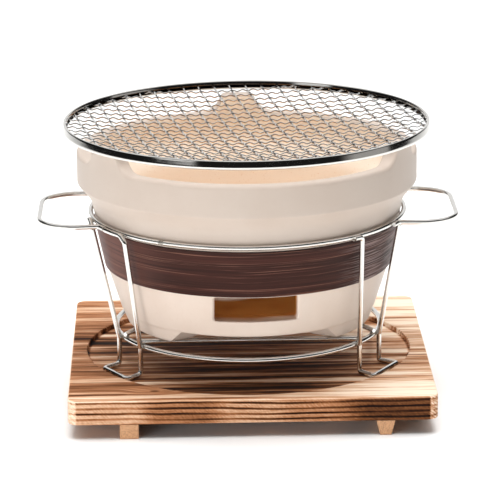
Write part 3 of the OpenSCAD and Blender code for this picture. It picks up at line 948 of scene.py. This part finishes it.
def weld_beads():
    """Weld metal at every contact of the stand's wires, and the hoops' butt joints."""
    beads = []
    for at, lean, _, hooks, rise in LEGS.values():
        for side, hook in zip((-1, 1), hooks):
            # a leg's end along the hoop
            t = lean + side * LEG_TOP_W / 2
            runs = (rise, hook + 0.4 * MM) if hook else (-WIRE / 2, WIRE / 2)
            near, far = (at + math.degrees(math.asin((t - run) / LAP_R)) for run in runs)
            beads.append(ring_bead((HOOP_R + LAP_R) / 2, near, far, HOOP_Z - 1.7 * MM, 1.6 * MM))
            # its upright on the lower ring
            angle = at + side * math.degrees(math.asin(LEG_LOW_W / 2 / LOW_OUT))
            middle = (LOW_R + LOW_OUT) / 2 + 0.1 * MM
            beads.append(ring_bead(middle, angle - 1.1, angle + 1.1, LOW_Z + 0.4 * MM, 2.3 * MM))
    # the bars' ends on the lower ring
    reach = math.degrees(math.acos(BAR_OFF / LOW_R))
    middle = (LOW_Z + BAR_Z) / 2
    for at in BARS.values():
        for angle in (at - reach, at + reach):
            beads.append(bead(on_ring(LOW_R - 1.6 * MM, angle, middle),
                              on_ring(LOW_R + 1.2 * MM, angle, middle), 2.2 * MM))
    # the handles' tails on the hoop, above and below
    tail = math.degrees(HANDLE_ANGLE)
    for side in (-1, 1):
        for end in (-1, 1):
            near, far = side * (90 + end * tail), side * (90 + end * (tail + 3.4))
            for up in (-0.9 * MM, 0.9 * MM):
                beads.append(ring_bead(HOOP_R + WIRE / 2, near, far, HOOP_Z + up, 1.3 * MM))
    # the butt joints of the two hoops
    for radius, z, wire, at in ((HOOP_R, HOOP_Z, WIRE, -33), (LOW_R, LOW_Z, LOW_WIRE, 171)):
        line = np.array([on_ring(radius, at + k * 0.28, z) for k in range(-4, 5)])
        swell = wire / 2 + 0.1 * MM * np.cos(np.linspace(-1, 1, 9) * math.pi / 2) - 0.03 * MM
        beads.append(sweep(line, swell, 20))
    return beads


# ---------------------------------------------------------------- grill

def rim_profile():
    """The rolled edge in section: a strip bent over the net's edge, narrower at its top, with a slot
    for the wires on its inner side. Also 1 for the points inside the roll."""
    wide = GRILL_RIM_W / 2
    narrow = (wide - (GRILL_RIM_H - wide) * math.sin(GRILL_RIM_TILT)) / (1 - math.sin(GRILL_RIM_TILT))
    half = GRILL_RIM_T / 2
    low, high = -GRILL_RIM_H / 2 + wide, GRILL_RIM_H / 2 - narrow
    tilt = math.degrees(GRILL_RIM_TILT)
    side = np.array([-math.cos(GRILL_RIM_TILT), math.sin(GRILL_RIM_TILT)])
    above = np.array([0, high]) + side * (narrow - half)
    below = np.array([0, low]) + side * (wide - half)
    lean = (above - below) / (above[1] - below[1])
    spine = [below + lean * (0.9 * MM - below[1])]
    for middle, radius, start, end, count in ((high, narrow - half, 180 - tilt, tilt, 13),
                                              (low, wide - half, tilt, 20 - 180 - tilt, 15)):
        spine += [(radius * math.cos(t), middle + radius * math.sin(t))
                  for t in np.radians(np.linspace(start, end, count))]
    spine = np.array([tuple(p) for p in spine])
    ahead = np.gradient(spine, axis=0)
    normal = units(np.stack([-ahead[:, 1], ahead[:, 0]], -1))
    out = dense(spine + normal * half, 0.7 * MM)
    inn = dense((spine - normal * half)[::-1], 0.7 * MM)
    profile = np.concatenate([out, inn])
    hidden = np.repeat([0.0, 1.0], [len(out), len(inn)])
    return profile + [GRILL_R - profile[:, 0].max(), GRILL_Z], hidden


def net_family(own, other, side):
    """One family of the weave, as it crosses the other. Each wire rises and falls at every crossing and
    has one more crimp on either side of it, three half waves to each opening. Also a value for each
    point: 1 where the wire crosses on top, 0 where it crosses beneath."""
    turn, pitch, shift = own
    cross_turn, cross_pitch, cross_shift = other
    skew = cross_turn - turn
    reach = NET_R - 5 * MM
    sides = 8
    wires, crests = [], []
    for i in range(-14, 15):
        y = shift + i * pitch
        if abs(y) > reach:
            continue
        half = math.sqrt(NET_R ** 2 - y ** 2) - 0.3 * MM
        steps = max(8, round(2 * half / (cross_pitch / 15)))
        x = np.linspace(-half, half, steps + 1)
        crossing = (y * math.cos(skew) - x * math.sin(skew) - cross_shift) / cross_pitch
        wave = np.cos(3 * math.pi * crossing)
        fade = np.clip((half - np.abs(x)) / (5 * MM), 0, 1)
        up = side * (1 if i % 2 == 0 else -1)
        sag = NET_SAG * (1 - (np.hypot(x, y) / NET_R) ** 2)
        z = up * NET_CRIMP * wave * (0.35 + 0.65 * fade) - sag
        verts, faces = sweep(np.stack([x, np.full(len(x), y), z], -1), NET_WIRE / 2, sides)
        over = 0.5 + 0.5 * up * np.cos(math.pi * crossing)
        crests.append(np.repeat(1 + (over - 1) * fade, sides))
        wires.append((spun(turn, verts) + [0, 0, GRILL_Z], faces))
    return joined(wires), np.concatenate(crests)


def build_grill():
    """The rolled rim and the two families, of which the one across has its painted highlight and shade
    at the crossings more even.
    """
    steps = 300
    profile, hidden = rim_profile()
    rim = piece("grill_rolled_rim", revolve(profile, steps), rim_paint(), "grill", "grill_steel",
                "grill_rim")
    mark_points(rim, "crevice_shade", np.repeat(hidden, steps))
    paint = net_paint()
    wires, crest_shading = net_family(NET_ACROSS, NET_DEEP, 1)
    net = piece("grill_net_across", wires, paint, "grill", "net_wire", "grill_wires_a")
    # the family across gets a narrower spread of painted highlight and shade
    mark_points(net, "crest_shading", 0.3 + 0.3 * crest_shading)
    wires, crest_shading = net_family(NET_DEEP, NET_ACROSS, -1)
    net = piece("grill_net_deep", wires, paint, "grill", "net_wire", "grill_wires_b")
    mark_points(net, "crest_shading", crest_shading)


# ---------------------------------------------------------------- board

def outline_at(angles, inset):
    """The plank's outline, pulled in by inset, at each angle about its middle."""
    w, l = BOARD_HIGH.x - inset, BOARD_HIGH.y - inset
    r = max(0.5 * MM, BOARD_CORNER - inset)
    line = dense(rounded([(w, -l, r), (w, l, r), (-w, l, r), (-w, -l, r)], 6), 2 * MM, closed=True)
    found = np.unwrap(np.arctan2(line[:, 1], line[:, 0]))
    order = np.argsort(found)
    found, line = found[order], line[order]
    found = np.concatenate([found - 2 * math.pi, found, found + 2 * math.pi])
    return np.interp(angles, found, np.tile(np.hypot(line[:, 0], line[:, 1]), 3))


def build_board():
    """The plank, from its underside round the edge and down into the recess, and its cleats."""
    columns = 720
    angles = -math.pi + np.arange(columns) * 2 * math.pi / columns
    low, high = BOARD_LOW.z, BOARD_HIGH.z
    soft, wear_and_reflection, lip, root = 0.8 * MM, 1.3 * MM, 0.5 * MM, 0.6 * MM
    floor = high - RECESS_DEPTH
    under, top = outline_at(angles, soft), outline_at(angles, wear_and_reflection)
    rows = [(under * part, low) for part in (0.25, 0.5, 0.75, 0.9)]
    rows += [(outline_at(angles, a), low + b) for a, b in round_off(soft, 90, 0, 4)]
    rows += [(outline_at(angles, 0.0), z) for z in np.linspace(low + soft, high - wear_and_reflection, 5)[1:-1]]
    rows += [(outline_at(angles, a), high - b) for a, b in round_off(wear_and_reflection, 0, 90, 6)]
    rows += [(top + (RECESS_R + lip - top) * part, high) for part in np.linspace(0, 1, 8)[1:]]
    rows += [(RECESS_R + a, high - b) for a, b in round_off(lip, 90, 0, 4)[1:]]
    rows += [(RECESS_R - a, floor + b) for a, b in round_off(root, 0, 90, 4)]
    rows += [(RECESS_R * part, floor) for part in (0.95, 0.85, 0.7, 0.5, 0.3, 0.12)]
    plank = turned(rows, np.cos(angles), np.sin(angles), low, floor)
    piece("scorched_plank", plank, charred_paint(), "board", "charred_wood", "board_plank")
    paint = cleat_paint()
    for side, lean in (("left", 0.0), ("right", 2.4 * MM)):
        node = "cleat_" + side
        piece("batten_" + side, cleat_shape(node, lean), paint, "board", "bare_wood", node)


def cleat_shape(node, lean):
    """A sawn batten where the photograph has it, its sides leaning in by lean at the floor."""
    low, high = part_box(node)
    soft = 0.5 * MM
    middle = (low.x + high.x) / 2 + CLEAT_ASIDE
    verts = []
    for y, pull in ((low.y, soft), (low.y + soft, 0), (high.y - soft, 0), (high.y, soft)):
        for z, pinch in ((low.z + pull, lean), (high.z, 0)):
            half = (high.x - low.x) / 2 - pinch - pull
            verts += [(middle - half, y, z), (middle + half, y, z)]
    faces = [(0, 1, 3, 2), (14, 12, 13, 15)]
    for k in (0, 4, 8):
        faces += [(k, k + 4, k + 5, k + 1), (k + 1, k + 5, k + 7, k + 3), (k + 3, k + 7, k + 6, k + 2),
                  (k + 2, k + 6, k + 4, k)]
    return verts, faces


# ---------------------------------------------------------------- floor and light

def build_floor():
    data = bpy.data.meshes.new("floor")
    s = FLOOR_HALF
    data.from_pydata([(-s, -s, 0), (s, -s, 0), (s, s, 0), (-s, s, 0)], [], [(0, 1, 2, 3)])
    data.materials.append(Paint("pale_floor", roughness=0.9, base_color=srgb(251, 251, 250)).material)
    placed("floor", data)


def softbox(name, place, target, width, height, watts):
    """A rectangular light that the metal doesn't mirror."""
    data = bpy.data.lights.new(name, "AREA")
    data.shape = "RECTANGLE"
    data.size, data.size_y = width, height
    data.energy = watts
    light = placed(name, data)
    light.visible_glossy = False
    light.location = place
    light.rotation_euler = (Vector(target) - Vector(place)).to_track_quat("-Z", "Y").to_euler()


def grey(level):
    return (level, level, level, 1)


def studio_world():
    """White to the camera. To the wires that mirror it, a dark room that is light at the back and
    overhead, with a grey wall low on the right and a pale pane at the front left."""
    world = bpy.data.worlds.new("studio")
    bpy.context.scene.world = world
    world.use_nodes = True
    w = Nodes(world.node_tree)
    x, y, z = w.parts(w.node("TexCoord", out="Generated"))
    facing = w.math("DIVIDE", y, w.length(x, y))
    room = w.times(w.fit(facing, 0.9, 0.82), w.fit(z, 0.66, 0.56))
    front = w.times(w.fit(facing, -0.2, -0.45), w.fit(z, 0.8, 0.74))
    wall = w.times(w.fit(y, -0.56, -0.34), w.fit(y, 0.14, 0.07), w.fit(x, 0.0, 0.08),
                   w.fit(z, 0.2, 0.12))
    pane = w.times(w.fit(facing, -0.86, -0.8), w.fit(facing, -0.5, -0.56), w.fit(z, 0.14, 0.18),
                   w.fit(z, 0.5, 0.4), w.fit(x, 0.0, -0.08))
    tone = w.mix(wall, grey(0.012), (0.40, 0.39, 0.38, 1))
    tone = w.mix(pane, tone, grey(0.8))
    tone = w.mix(w.math("MAXIMUM", room, front), grey(0.9), tone)
    tone = w.mix(w.node("LightPath", out="Is Camera Ray"), tone, grey(1.05))
    w.feed(w.tree.nodes["Background"].inputs["Color"], tone)


def build_light():
    studio_world()
    for name, box in SOFTBOXES.items():
        softbox(name, *box)
    bpy.context.scene.view_settings.view_transform = "Standard"
    bpy.context.scene.view_settings.look = "None"


aim_camera()
build_bowl()
build_band()
build_grate()
build_stand()
build_grill()
build_board()
build_floor()
build_light()
